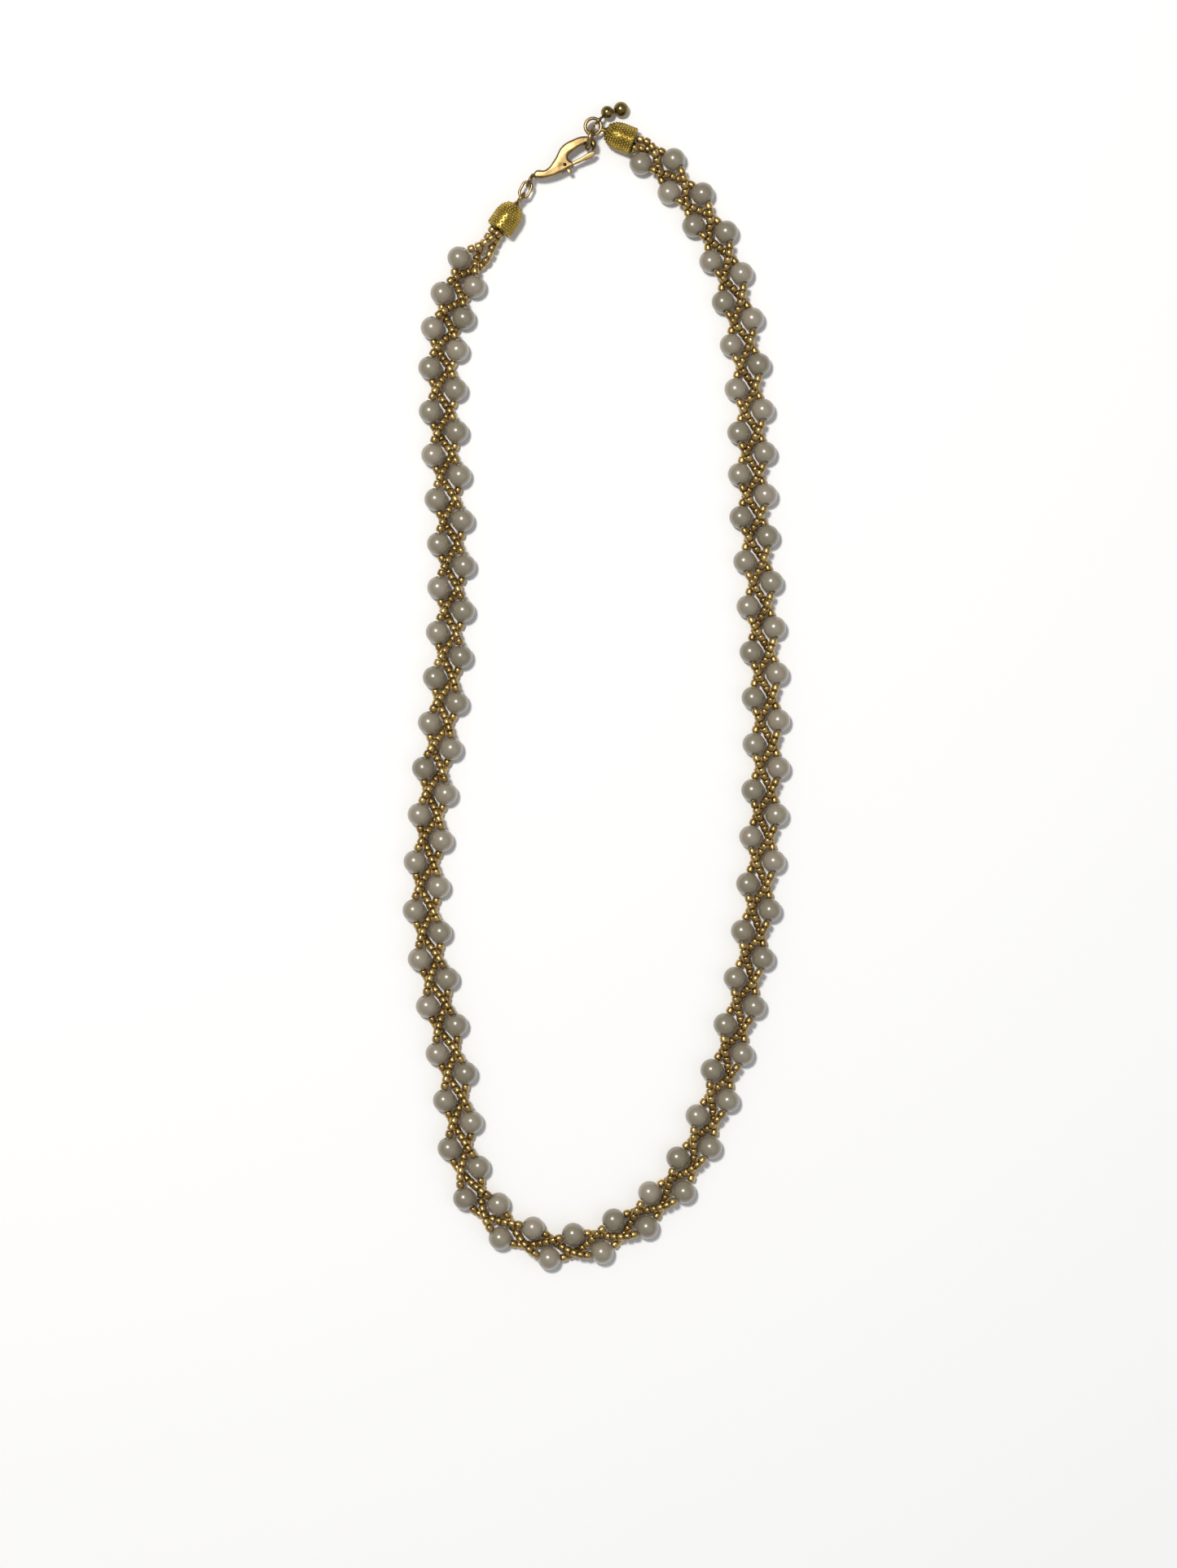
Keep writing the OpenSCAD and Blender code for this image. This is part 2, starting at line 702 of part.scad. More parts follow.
seeds(2, 3);  // seeds_c_right_side
seeds(2, 4);  // seeds_c_right_end
threads(0);  // threads_left_end
threads(1);  // threads_left_side
threads(2);  // threads_front
threads(3);  // threads_right_side
threads(4);  // threads_right_end
left_cap();
left_eye_pin();
left_knot();
right_cap();
right_eye_pin();
right_knot();
link_ring();
hook_ring();
clasp_body();
clasp_lever();
clasp_rivet();
clasp_spring();
drop_pin();
drop_ball_small();
drop_ball_large();
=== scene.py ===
import json
import math
import random

import bmesh
import bpy
import numpy as np
from mathutils import Matrix, Vector


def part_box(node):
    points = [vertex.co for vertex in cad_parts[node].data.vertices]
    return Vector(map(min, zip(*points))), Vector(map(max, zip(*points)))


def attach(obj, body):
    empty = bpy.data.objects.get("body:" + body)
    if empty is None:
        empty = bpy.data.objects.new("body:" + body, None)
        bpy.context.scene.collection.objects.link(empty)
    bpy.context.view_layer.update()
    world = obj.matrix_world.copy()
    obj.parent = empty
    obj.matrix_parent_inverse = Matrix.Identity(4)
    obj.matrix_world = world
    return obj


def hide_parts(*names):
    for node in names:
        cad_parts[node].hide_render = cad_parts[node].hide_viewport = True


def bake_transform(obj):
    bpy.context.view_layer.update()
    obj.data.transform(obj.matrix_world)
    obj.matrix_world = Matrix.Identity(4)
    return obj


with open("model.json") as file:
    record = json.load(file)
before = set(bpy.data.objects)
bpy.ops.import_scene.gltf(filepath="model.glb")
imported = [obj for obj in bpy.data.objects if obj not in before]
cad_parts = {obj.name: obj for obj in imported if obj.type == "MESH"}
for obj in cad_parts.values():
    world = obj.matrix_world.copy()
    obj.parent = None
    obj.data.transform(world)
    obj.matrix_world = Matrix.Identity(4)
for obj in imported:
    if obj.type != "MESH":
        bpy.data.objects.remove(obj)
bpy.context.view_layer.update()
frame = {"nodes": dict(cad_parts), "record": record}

nodes = frame["nodes"]
scene = bpy.context.scene

# ---------------------------------------------------------------------------------------------
# The table top that the necklace is laid out on: a plain white matt board under soft studio
# light, with the camera straight above it.
eye = bpy.data.objects.new("camera", bpy.data.cameras.new("camera"))
scene.collection.objects.link(eye)
scene.camera = eye
eye_height = 0.70
seen_height = 0.2695
eye.data.lens = 36 * eye_height / seen_height
eye.location = (-0.00134, -0.0169, eye_height + 0.002)

table_shape = bmesh.new()
bmesh.ops.create_grid(table_shape, x_segments=1, y_segments=1, size=3)
table_mesh = bpy.data.meshes.new("table_top")
table_shape.to_mesh(table_mesh)
table_shape.free()
table_top = bpy.data.objects.new("table_top", table_mesh)
scene.collection.objects.link(table_top)

white_board = bpy.data.materials.new("white_board")
white_board.use_nodes = True
board_skin = white_board.node_tree.nodes["Principled BSDF"]
board_skin.inputs["Base Color"].default_value = (1.0, 1.0, 1.0, 1)
board_skin.inputs["Roughness"].default_value = 0.9
board_skin.inputs["Specular IOR Level"].default_value = 0.2
table_mesh.materials.append(white_board)


def softbox(name, place, aim, size, power, tint=(1, 1, 1)):
    light = bpy.data.objects.new(name, bpy.data.lights.new(name, "AREA"))
    light.data.shape = "DISK"
    light.data.size = size
    light.data.energy = power
    light.data.color = tint
    light.location = place
    light.rotation_mode = "QUATERNION"
    light.rotation_quaternion = (Vector(aim) - Vector(place)).to_track_quat("-Z", "Y")
    scene.collection.objects.link(light)


softbox("key_light", (-0.22, 0.26, 1.0), (0, 0, 0), 0.16, 8.0, (1, 0.98, 0.94))
softbox("side_fill", (0.7, -0.4, 1.1), (0, 0, 0), 1.6, 2.0, (0.97, 0.98, 1))

studio = bpy.data.worlds.new("studio")
studio.use_nodes = True
studio.node_tree.nodes["Background"].inputs["Color"].default_value = (0.92, 0.94, 1, 1)
studio.node_tree.nodes["Background"].inputs["Strength"].default_value = 0.3
scene.world = studio
scene.view_settings.view_transform = "Standard"

# ---------------------------------------------------------------------------------------------
# The pearls: imitation pearls of glass, drilled through and dipped in pearl essence, so that
# each has a lustrous skin over its bead and a small bare rim round its hole. They stand in two
# rows, and each turns its hole along its own strand.
LENGTHS = ["left_end", "left_side", "front", "right_side", "right_end"]
pearl_radius = 0.00199
pearl_hole = 0.0003


def strung_beads(node):
    """The middle of each bead of a node, and the direction of its hole."""
    whole = bmesh.new()
    whole.from_mesh(nodes[node].data)
    bmesh.ops.remove_doubles(whole, verts=whole.verts, dist=1e-7)
    whole.faces.index_update()
    beads, met = [], set()
    for first in whole.verts:
        if first in met:
            continue
        met.add(first)
        reached, bead = [first], []
        while reached:
            corner = reached.pop()
            bead.append(corner)
            for side in corner.link_edges:
                other = side.other_vert(corner)
                if other not in met:
                    met.add(other)
                    reached.append(other)
        walls = sorted({f for c in bead for f in c.link_faces}, key=lambda f: f.index)
        areas = [(f.calc_area(), f.calc_center_median()) for f in walls]
        middle = sum((area * at for area, at in areas), Vector()) / sum(a for a, at in areas)
        inner = [
            f.normal * f.calc_area() ** 0.5 for f in walls
            if f.normal.dot(f.calc_center_median() - middle) < 0
        ]
        spread = sum(np.outer(n, n) for n in inner)
        hole = Vector(np.linalg.eigh(spread)[1][:, 0]).normalized()
        beads.append((middle, hole))
    whole.free()
    return beads


def turned(outline, round_sides, name):
    """A mesh spun round Z from a closed outline of (distance from the axis, height)."""
    shape = bmesh.new()
    rim = [shape.verts.new((out, 0, up)) for out, up in outline]
    edge = [shape.edges.new((rim[i - 1], rim[i])) for i in range(len(rim))]
    bmesh.ops.spin(
        shape, geom=rim + edge, axis=(0, 0, 1), cent=(0, 0, 0),
        angle=2 * math.pi, steps=round_sides, use_merge=True,
    )
    bmesh.ops.remove_doubles(shape, verts=shape.verts, dist=1e-7)
    bmesh.ops.recalc_face_normals(shape, faces=shape.faces)
    for face in shape.faces:
        face.smooth = True
    mesh = bpy.data.meshes.new(name)
    shape.to_mesh(mesh)
    shape.free()
    return mesh


def string_together(name, pattern, beads, tone_name, seed, squeeze=0.0):
    """One object of many copies of a bead, each with its own tone and its own turn."""
    chance = random.Random(seed)
    row = bmesh.new()
    tone = row.verts.layers.float.new(tone_name)
    for middle, hole in beads:
        start = len(row.verts)
        row.from_mesh(pattern)
        row.verts.ensure_lookup_table()
        own = row.verts[start:]
        value = chance.random()
        for corner in own:
            corner[tone] = value
        wide = 1 - squeeze * chance.random()
        spin = Matrix.Rotation(chance.uniform(0, 2 * math.pi), 4, "Z")
        turn = hole.to_track_quat("Z", "Y").to_matrix().to_4x4()
        shape = Matrix.Diagonal((wide, wide, 1 - squeeze * chance.random(), 1))
        bmesh.ops.transform(row, verts=own, matrix=Matrix.Translation(middle) @ turn @ spin @ shape)
    mesh = bpy.data.meshes.new(name)
    row.to_mesh(mesh)
    row.free()
    piece = bpy.data.objects.new(name, mesh)
    scene.collection.objects.link(piece)
    return piece


def new_finish(name):
    finish = bpy.data.materials.new(name)
    finish.use_nodes = True
    return finish, finish.node_tree.nodes, finish.node_tree.links


pearl_essence, made, joined = new_finish("pearl_essence")
skin = made["Principled BSDF"]
own_tone = made.new("ShaderNodeAttribute")
own_tone.attribute_name = "pearl_tone"
tone_range = made.new("ShaderNodeValToRGB")
tone_range.color_ramp.elements[0].color = (0.235, 0.205, 0.140, 1)
tone_range.color_ramp.elements[1].color = (0.330, 0.285, 0.215, 1)
middle_tone = tone_range.color_ramp.elements.new(0.5)
middle_tone.color = (0.275, 0.240, 0.170, 1)
joined.new(own_tone.outputs["Fac"], tone_range.inputs["Fac"])
where = made.new("ShaderNodeTexCoord")
cloud = made.new("ShaderNodeTexNoise")
cloud.inputs["Scale"].default_value = 520
cloud.inputs["Detail"].default_value = 3
joined.new(where.outputs["Object"], cloud.inputs["Vector"])
blush = made.new("ShaderNodeMix")
blush.data_type = "RGBA"
blush.blend_type = "MULTIPLY"
blush.inputs["Factor"].default_value = 0.55
cloud_tones = made.new("ShaderNodeValToRGB")
cloud_tones.color_ramp.elements[0].position = 0.30
cloud_tones.color_ramp.elements[0].color = (0.93, 0.96, 0.88, 1)
cloud_tones.color_ramp.elements[1].position = 0.70
cloud_tones.color_ramp.elements[1].color = (1.0, 0.91, 0.93, 1)
joined.new(cloud.outputs["Fac"], cloud_tones.inputs["Fac"])
joined.new(tone_range.outputs["Color"], blush.inputs["A"])
joined.new(cloud_tones.outputs["Color"], blush.inputs["B"])
joined.new(blush.outputs["Result"], skin.inputs["Base Color"])
skin.inputs["Roughness"].default_value = 0.30
skin.inputs["Metallic"].default_value = 0.12
skin.inputs["Specular IOR Level"].default_value = 0.75
skin.inputs["Coat Weight"].default_value = 0.7
skin.inputs["Coat Roughness"].default_value = 0.16
skin.inputs["Sheen Weight"].default_value = 0.12
skin.inputs["Sheen Roughness"].default_value = 0.4
dip_marks = made.new("ShaderNodeTexNoise")
dip_marks.inputs["Scale"].default_value = 1500
dip_marks.inputs["Detail"].default_value = 4
joined.new(where.outputs["Object"], dip_marks.inputs["Vector"])
uneven = made.new("ShaderNodeBump")
uneven.inputs["Strength"].default_value = 0.25
uneven.inputs["Distance"].default_value = 0.00003
joined.new(dip_marks.outputs["Fac"], uneven.inputs["Height"])
joined.new(uneven.outputs["Normal"], skin.inputs["Normal"])

mouth = math.asin(pearl_hole / pearl_radius)
turns = [mouth + (math.pi - 2 * mouth) * i / 15 for i in range(16)]
pearl_outline = [(pearl_radius * math.sin(a), pearl_radius * math.cos(a)) for a in turns]
pearl_outline += [
    (pearl_hole * 0.9, side * pearl_radius * math.cos(mouth) * 0.86) for side in (-1, 1)
]
pearl_pattern = turned(pearl_outline, 30, "pearl_pattern")
places = {}
for number, length in enumerate(LENGTHS):
    for edge in ["outer", "inner"]:
        node = f"pearls_{edge}_{length}"
        places[node] = strung_beads(node)
        pearls = string_together(
            f"{edge}_pearls_{length}", pearl_pattern, places[node], "pearl_tone",
            10 * number + len(edge) + (edge == "inner"), squeeze=0.012,
        )
        pearls.data.materials.append(pearl_essence)
        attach(pearls, length)
        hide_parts(node)

# ---------------------------------------------------------------------------------------------
# The seed beads: short cuts of brass tube, tumbled round and plated with gold. About eight fill
# each stretch between two pearls of a strand, and the three strands are plaited flat.
seed_radius = 0.000715
seed_length = 0.00112
seed_hole = 0.000275

gold_plate, made, joined = new_finish("gold_plate_on_seed_beads")
skin = made["Principled BSDF"]
own_tone = made.new("ShaderNodeAttribute")
own_tone.attribute_name = "seed_tone"
tone_range = made.new("ShaderNodeValToRGB")
tone_range.color_ramp.elements[0].color = (0.33, 0.21, 0.07, 1)
tone_range.color_ramp.elements[1].color = (0.60, 0.42, 0.16, 1)
joined.new(own_tone.outputs["Fac"], tone_range.inputs["Fac"])
where = made.new("ShaderNodeTexCoord")
dullness = made.new("ShaderNodeTexNoise")
dullness.inputs["Scale"].default_value = 900
dullness.inputs["Detail"].default_value = 3
joined.new(where.outputs["Object"], dullness.inputs["Vector"])
rub = made.new("ShaderNodeMapRange")
rub.inputs["To Min"].default_value = 0.24
rub.inputs["To Max"].default_value = 0.46
joined.new(dullness.outputs["Fac"], rub.inputs["Value"])
joined.new(rub.outputs["Result"], skin.inputs["Roughness"])
joined.new(tone_range.outputs["Color"], skin.inputs["Base Color"])
skin.inputs["Metallic"].default_value = 1

side_outline = [(0.70, 0.5), (0.90, 0.43), (0.99, 0.26), (1, 0)]
seed_outline = [(seed_radius * out, seed_length * up) for out, up in side_outline]
seed_outline += [(out, -up) for out, up in seed_outline[-2::-1]]
seed_outline += [(seed_hole, -seed_length * 0.46), (seed_hole, seed_length * 0.46)]
seed_pattern = turned(seed_outline, 12, "seed_pattern")
for letter in "abc":
    for number, length in enumerate(LENGTHS):
        node = f"seeds_{letter}_{length}"
        places[node] = strung_beads(node)
        seeds = string_together(
            f"seed_beads_{letter}_{length}", seed_pattern, places[node], "seed_tone",
            100 * ord(letter) + number, squeeze=0.03,
        )
        seeds.data.materials.append(gold_plate)
        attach(seeds, length)
        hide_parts(node)

# ---------------------------------------------------------------------------------------------
# The threads: three strands of waxed beading thread, twisted, that run through every bead and
# into the caps. Each stiff length of the plait has its own threads, and at the four bends short
# bridging threads carry on across the joint.
thread_radius = 0.0001
cap_length = 0.005
eye_reach = {"left": 0.00645, "right": 0.007375}
link_slack = 0.00035
longest_step = 0.0034


def table_way(degrees):
    """A direction on the table, as an angle from +X."""
    angle = math.radians(degrees)
    return Vector((math.cos(angle), math.sin(angle), 0))


pivots = {j["name"]: Vector(j["pos_m"]) for j in frame["record"]["behaviour"]["joints"]}
inwards = {"left": table_way(55), "right": -table_way(-21)}
eye_places = {
    "left": pivots["link_swing"] - link_slack * inwards["left"],
    "right": pivots["hook_ring_swing"],
}
mouths = {side: eye_places[side] - eye_reach[side] * inwards[side] for side in inwards}


def in_order(beads, start):
    """A strand's beads in the order that the thread passes them, with the hole turned along it."""
    left = list(beads)
    here, way, chain = start, None, []

    def cost(bead):
        run = bead[0] - here
        ahead = way is None or run.normalized().dot(way) > 0.75
        return run.length * (1 if ahead else 100)

    while left:
        following = min(left, key=cost)
        if chain and (following[0] - here).length > longest_step:
            break
        left.remove(following)
        middle, hole, half = following
        way = hole if hole.dot(middle - here) > 0 else -hole
        chain.append((middle, way, half))
        here = middle
    return chain


def wires(name, lines, radius, closed=False, sides=2):
    """A mesh of round wires that follow lines of points."""
    course = bpy.data.curves.new(name, "CURVE")
    course.dimensions = "3D"
    course.bevel_depth = radius
    course.bevel_resolution = sides
    course.use_fill_caps = True
    for line in lines:
        spline = course.splines.new("POLY")
        spline.points.add(len(line) - 1)
        for point, at in zip(spline.points, line):
            point.co = (*at, 1)
        spline.use_cyclic_u = closed
    holder = bpy.data.objects.new(name, course)
    scene.collection.objects.link(holder)
    ready = holder.evaluated_get(bpy.context.evaluated_depsgraph_get())
    mesh = bpy.data.meshes.new_from_object(ready)
    mesh.name = name
    bpy.data.objects.remove(holder)
    return mesh


def placed_piece(name, mesh, finish, place=None):
    """An object of a mesh that is put in its place, at the origin of the frame."""
    if place is not None:
        mesh.transform(place)
    mesh.materials.clear()
    mesh.materials.append(finish)
    piece = bpy.data.objects.new(name, mesh)
    scene.collection.objects.link(piece)
    return piece


def fitted(piece, body, slot_name, *old):
    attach(piece, body)
    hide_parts(*old)


waxed_thread, made, joined = new_finish("waxed_thread")
skin = made["Principled BSDF"]
skin.inputs["Base Color"].default_value = (0.42, 0.33, 0.19, 1)
skin.inputs["Roughness"].default_value = 0.55
skin.inputs["Sheen Weight"].default_value = 0.3
where = made.new("ShaderNodeTexCoord")
plies = made.new("ShaderNodeTexWave")
plies.bands_direction = "DIAGONAL"
plies.inputs["Scale"].default_value = 2600
plies.inputs["Distortion"].default_value = 1.5
joined.new(where.outputs["Object"], plies.inputs["Vector"])
twist = made.new("ShaderNodeBump")
twist.inputs["Strength"].default_value = 0.6
twist.inputs["Distance"].default_value = 0.00004
joined.new(plies.outputs["Fac"], twist.inputs["Height"])
joined.new(twist.outputs["Normal"], skin.inputs["Normal"])

half_pearl = pearl_radius * 0.94
half_seed = seed_length / 2
knot_places = {
    side: mouths[side] + inwards[side] * cap_length / 2 for side in ["left", "right"]
}
strand_ends = {letter: mouths["left"] for letter in "abc"}
thread_lines = {length: [] for length in LENGTHS}
bridge_lines = {length: [] for length in LENGTHS[1:]}
loose_ends = {}
for length in LENGTHS:
    pearls_here = [
        (middle, hole, half_pearl)
        for edge in ["outer", "inner"] for middle, hole in places[f"pearls_{edge}_{length}"]
    ]
    for letter in "abc":
        seeds_here = [(m, h, half_seed) for m, h in places[f"seeds_{letter}_{length}"]]
        chain = in_order(seeds_here + pearls_here, strand_ends[letter])
        line = [
            middle + way * half * side for middle, way, half in chain for side in (-0.9, 0.9)
        ]
        if length != "left_end":
            bridge_lines[length].append([*loose_ends[letter], line[0], line[1]])
        loose_ends[letter] = line[-2:]
        strand_ends[letter] = line[-1]
        for side, length_there, end in [("left", "left_end", 0), ("right", "right_end", -1)]:
            if length == length_there:
                knot = knot_places[side]
                aside = line[end] - mouths[side]
                aside -= aside.dot(inwards[side]) * inwards[side]
                last = knot - inwards[side] * 0.0008 + aside.normalized() * 0.0005
                line.insert(0 if end == 0 else len(line), last)
        thread_lines[length].append(line)

for length in LENGTHS:
    mesh = wires(f"threads_mesh_{length}", thread_lines[length], thread_radius, sides=1)
    threads = placed_piece(f"strand_threads_{length}", mesh, waxed_thread)
    fitted(threads, length, "thread", f"threads_{length}")

for before, length in zip(LENGTHS, LENGTHS[1:]):
    mesh = wires(f"bridge_mesh_{length}", bridge_lines[length], thread_radius * 0.96, sides=1)
    bridge = placed_piece(f"bridging_threads_{before}", mesh, waxed_thread)
    start = sum((line[1] for line in bridge_lines[length]), Vector()) / 3
    end = sum((line[2] for line in bridge_lines[length]), Vector()) / 3
    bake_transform(bridge)

# ---------------------------------------------------------------------------------------------
# The knots: inside each cap the three threads are tied on the eye pin and the knot is glued, so
# that the pull on the necklace goes into the cap.
knot_turns = [2 * math.pi * i / 96 for i in range(96)]
knot_line = [
    Vector((
        (math.sin(a) + 2 * math.sin(2 * a)) * 0.00024,
        (math.cos(a) - 2 * math.cos(2 * a)) * 0.00024,
        -math.sin(3 * a) * 0.00035,
    )) for a in knot_turns
]
for side in ["left", "right"]:
    turn = inwards[side].to_track_quat("Z", "Y").to_matrix().to_4x4()
    mesh = wires(f"knot_mesh_{side}", [knot_line], 0.00022, closed=True)
    knot = placed_piece(
        f"thread_knot_{side}", mesh, waxed_thread, Matrix.Translation(knot_places[side]) @ turn
    )
    fitted(knot, f"{side}_end", "thread", f"{side}_knot")

# ---------------------------------------------------------------------------------------------
# The end caps: thin brass bells, pressed, set all over with rows of fine granules and plated
# with bright yellow gold. The mouth has a rolled rim and the closed end a little collar.
cap_radius = 0.0023
cap_wall = 0.00045
granule_radius = 0.00025


def clouded_gold(name, grain, detail, dark, light, rough, cast=0.0):
    """A gold plate finish that is darker and duller in soft patches, with the grain of a casting
    where cast is more than 0."""
    finish, made, joined = new_finish(name)
    skin = made["Principled BSDF"]
    skin.inputs["Metallic"].default_value = 1
    where = made.new("ShaderNodeTexCoord")
    patches = made.new("ShaderNodeTexNoise")
    patches.inputs["Scale"].default_value = grain
    patches.inputs["Detail"].default_value = detail
    joined.new(where.outputs["Object"], patches.inputs["Vector"])
    tones = made.new("ShaderNodeValToRGB")
    tones.color_ramp.elements[0].color = (*dark, 1)
    tones.color_ramp.elements[0].position = 0.3
    tones.color_ramp.elements[1].color = (*light, 1)
    tones.color_ramp.elements[1].position = 0.7
    joined.new(patches.outputs["Fac"], tones.inputs["Fac"])
    joined.new(tones.outputs["Color"], skin.inputs["Base Color"])
    if rough[0] == rough[1]:
        skin.inputs["Roughness"].default_value = rough[0]
    else:
        rub = made.new("ShaderNodeMapRange")
        rub.inputs["To Min"].default_value = rough[0]
        rub.inputs["To Max"].default_value = rough[1]
        joined.new(patches.outputs["Fac"], rub.inputs["Value"])
        joined.new(rub.outputs["Result"], skin.inputs["Roughness"])
    if cast:
        uneven = made.new("ShaderNodeBump")
        uneven.inputs["Strength"].default_value = cast
        uneven.inputs["Distance"].default_value = 0.00003
        joined.new(patches.outputs["Fac"], uneven.inputs["Height"])
        joined.new(uneven.outputs["Normal"], skin.inputs["Normal"])
    return finish


cap_gold = clouded_gold(
    "bright_cap_gold", 500, 4, (0.30, 0.20, 0.035), (0.52, 0.37, 0.08), (0.15, 0.45)
)

bell_outline = [(1, 0), (1, 0.35), (1, 0.55), (0.9, 0.75), (0.7, 0.9), (0.45, 1)]
granule_rows = 11
granule_stand = 0.00015
granule_spacing = 0.00055


def cap_out(height):
    """The outer radius of a cap at a height from 0 at its mouth to 1 at its closed end."""
    radii, heights = zip(*bell_outline)
    return float(np.interp(height, heights, radii)) * cap_radius


def joined_meshes(name, meshes):
    whole = bmesh.new()
    for mesh in meshes:
        whole.from_mesh(mesh)
    mesh = bpy.data.meshes.new(name)
    whole.to_mesh(mesh)
    whole.free()
    return mesh


for side in ["left", "right"]:
    heights = [i / 24 for i in range(25)]
    shell_outline = [(cap_out(h), h * cap_length) for h in heights]
    shell_outline += [(0.00035, cap_length), (0.00035, cap_length - cap_wall)]
    shell_outline += [
        (max(0.0004, cap_out(h) - cap_wall), min(h * cap_length, cap_length - cap_wall))
        for h in heights[:0:-1]
    ]
    shell_outline.append((cap_out(0) - cap_wall, 0))
    shell = turned(shell_outline, 64, f"cap_shell_{side}")
    setting = bmesh.new()
    for row in range(granule_rows):
        height = 0.05 + 0.88 * row / (granule_rows - 1)
        out = cap_out(height) - granule_radius + granule_stand
        around = round(2 * math.pi * out / granule_spacing)
        for n in range(around):
            angle = 2 * math.pi * (n + row % 2 / 2) / around
            at = Vector((out * math.cos(angle), out * math.sin(angle), height * cap_length))
            bmesh.ops.create_icosphere(
                setting, subdivisions=2, radius=granule_radius, matrix=Matrix.Translation(at)
            )
    for face in setting.faces:
        face.smooth = True
    granules = bpy.data.meshes.new(f"cap_granules_{side}")
    setting.to_mesh(granules)
    setting.free()
    rim_turns = [2 * math.pi * i / 48 for i in range(48)]
    rim_line = [
        Vector((0.00212 * math.cos(a), 0.00212 * math.sin(a), 0.0001)) for a in rim_turns
    ]
    rim = wires(f"cap_rim_{side}", [rim_line], 0.0002, closed=True)
    collar_line = [
        Vector((0.0006 * math.cos(a), 0.0006 * math.sin(a), cap_length)) for a in rim_turns
    ]
    collar = wires(f"cap_collar_{side}", [collar_line], 0.00018, closed=True)
    mesh = joined_meshes(f"cap_mesh_{side}", [shell, granules, rim, collar])
    turn = inwards[side].to_track_quat("Z", "Y").to_matrix().to_4x4()
    cap = placed_piece(
        f"granulated_cap_{side}", mesh, cap_gold, Matrix.Translation(mouths[side]) @ turn
    )
    fitted(cap, f"{side}_end", "gold_cap", f"{side}_cap")

# ---------------------------------------------------------------------------------------------
# The eye pins: brass wire with its end knotted in the cap, run out through the closed end and
# turned into an eye, with two or three close turns round its own neck.
pin_radius = 0.0003
wrap_pitch = 0.0003
wrap_radius = 0.00042
wrap_wire = 0.00015
upwards = Vector((0, 0, 1))

wire_gold = clouded_gold(
    "wire_gold", 1400, 3, (0.19, 0.12, 0.045), (0.44, 0.31, 0.13), (0.18, 0.4)
)


def ring_line(radius, steps=48, gap=0.0):
    """Points of a ring in the XZ plane, with a gap in radians at -X for its butted ends."""
    turn = (2 * math.pi - gap) / (steps if gap == 0 else steps - 1)
    start = math.pi + gap / 2
    return [
        Vector((radius * math.cos(start + turn * i), 0, radius * math.sin(start + turn * i)))
        for i in range(steps)
    ]


def facing(way, upright=True):
    """The turn that takes X along a direction on the table, with Z up or, lying down, level."""
    angle = math.atan2(way.y, way.x)
    turn = Matrix.Rotation(angle, 4, "Z")
    return turn if upright else turn @ Matrix.Rotation(math.pi / 2, 4, "X")


eyes = {
    "left": (eye_places["left"], 0.00105, True),
    "right": (eye_places["right"], 0.001375, False),
}
for side in ["left", "right"]:
    at, eye_radius, upright = eyes[side]
    way = inwards[side]
    around = facing(way, upright)
    eye_ring = [at + around.to_3x3() @ p for p in ring_line(eye_radius, gap=0.12)]
    neck = at - way * eye_radius
    shank = [knot_places[side], neck]
    wrap_start = mouths[side] + way * (cap_length + 0.0002)
    across = Vector((-way.y, way.x, 0))
    room = (neck - wrap_start).length - pin_radius
    turns_of_wrap = max(1, int(room / wrap_pitch))
    wrap = [
        wrap_start + way * wrap_pitch * k / 24
        + wrap_radius * (across * math.cos(math.pi * k / 12) + upwards * math.sin(math.pi * k / 12))
        for k in range(24 * turns_of_wrap + 1)
    ]
    mesh = joined_meshes(f"eye_pin_mesh_{side}", [
        wires(f"eye_{side}", [eye_ring], pin_radius),
        wires(f"shank_{side}", [shank], pin_radius),
        wires(f"wrap_{side}", [wrap], wrap_wire),
    ])
    pin = placed_piece(f"eye_pin_{side}", mesh, wire_gold)
    fitted(pin, f"{side}_end", "gold_wire", f"{side}_eye_pin")

# ---------------------------------------------------------------------------------------------
# The oval link: a loop of thin wire bent to an oval and butted, between the left eye and the
# clasp's tail.
low_corner, high_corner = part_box("link_ring")
link_middle = (low_corner + high_corner) / 2
link_way = math.radians(63)
link_inside = 0.0023
link_width = 0.0011
link_wire = 0.0005
link_straight = link_inside - link_width
link_bend = (link_width + link_wire) / 2
oval = []
for end, side in [(1, -1), (-1, 1)]:
    oval += [
        Vector((
            end * (link_straight / 2 + link_bend * math.cos(a)),
            end * link_bend * math.sin(a), 0,
        )) for a in [math.radians(-90 + 10 * i) for i in range(19)]
    ]
mesh = wires("link_mesh", [oval], link_wire / 2, closed=True)
oval_link = placed_piece(
    "oval_link", mesh, wire_gold,
    Matrix.Translation(link_middle) @ Matrix.Rotation(link_way, 4, "Z"),
)
fitted(oval_link, "link_ring", "gold_wire", "link_ring")

# ---------------------------------------------------------------------------------------------
# The hook ring: a stout ring of wire, soldered shut, that stands on edge in the right eye.
low_corner, high_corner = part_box("hook_ring")
hook_middle = (low_corner + high_corner) / 2
hook_way = table_way(75)
hook_ring_radius = 0.002
hook_ring_wire = 0.0008
hook_line = ring_line(hook_ring_radius, 64)
mesh = wires("hook_ring_mesh", [hook_line], hook_ring_wire / 2, closed=True, sides=4)
hook_ring = placed_piece(
    "hook_ring_wire", mesh, wire_gold, Matrix.Translation(hook_middle) @ facing(hook_way)
)
fitted(hook_ring, "hook_ring", "gold_wire", "hook_ring")

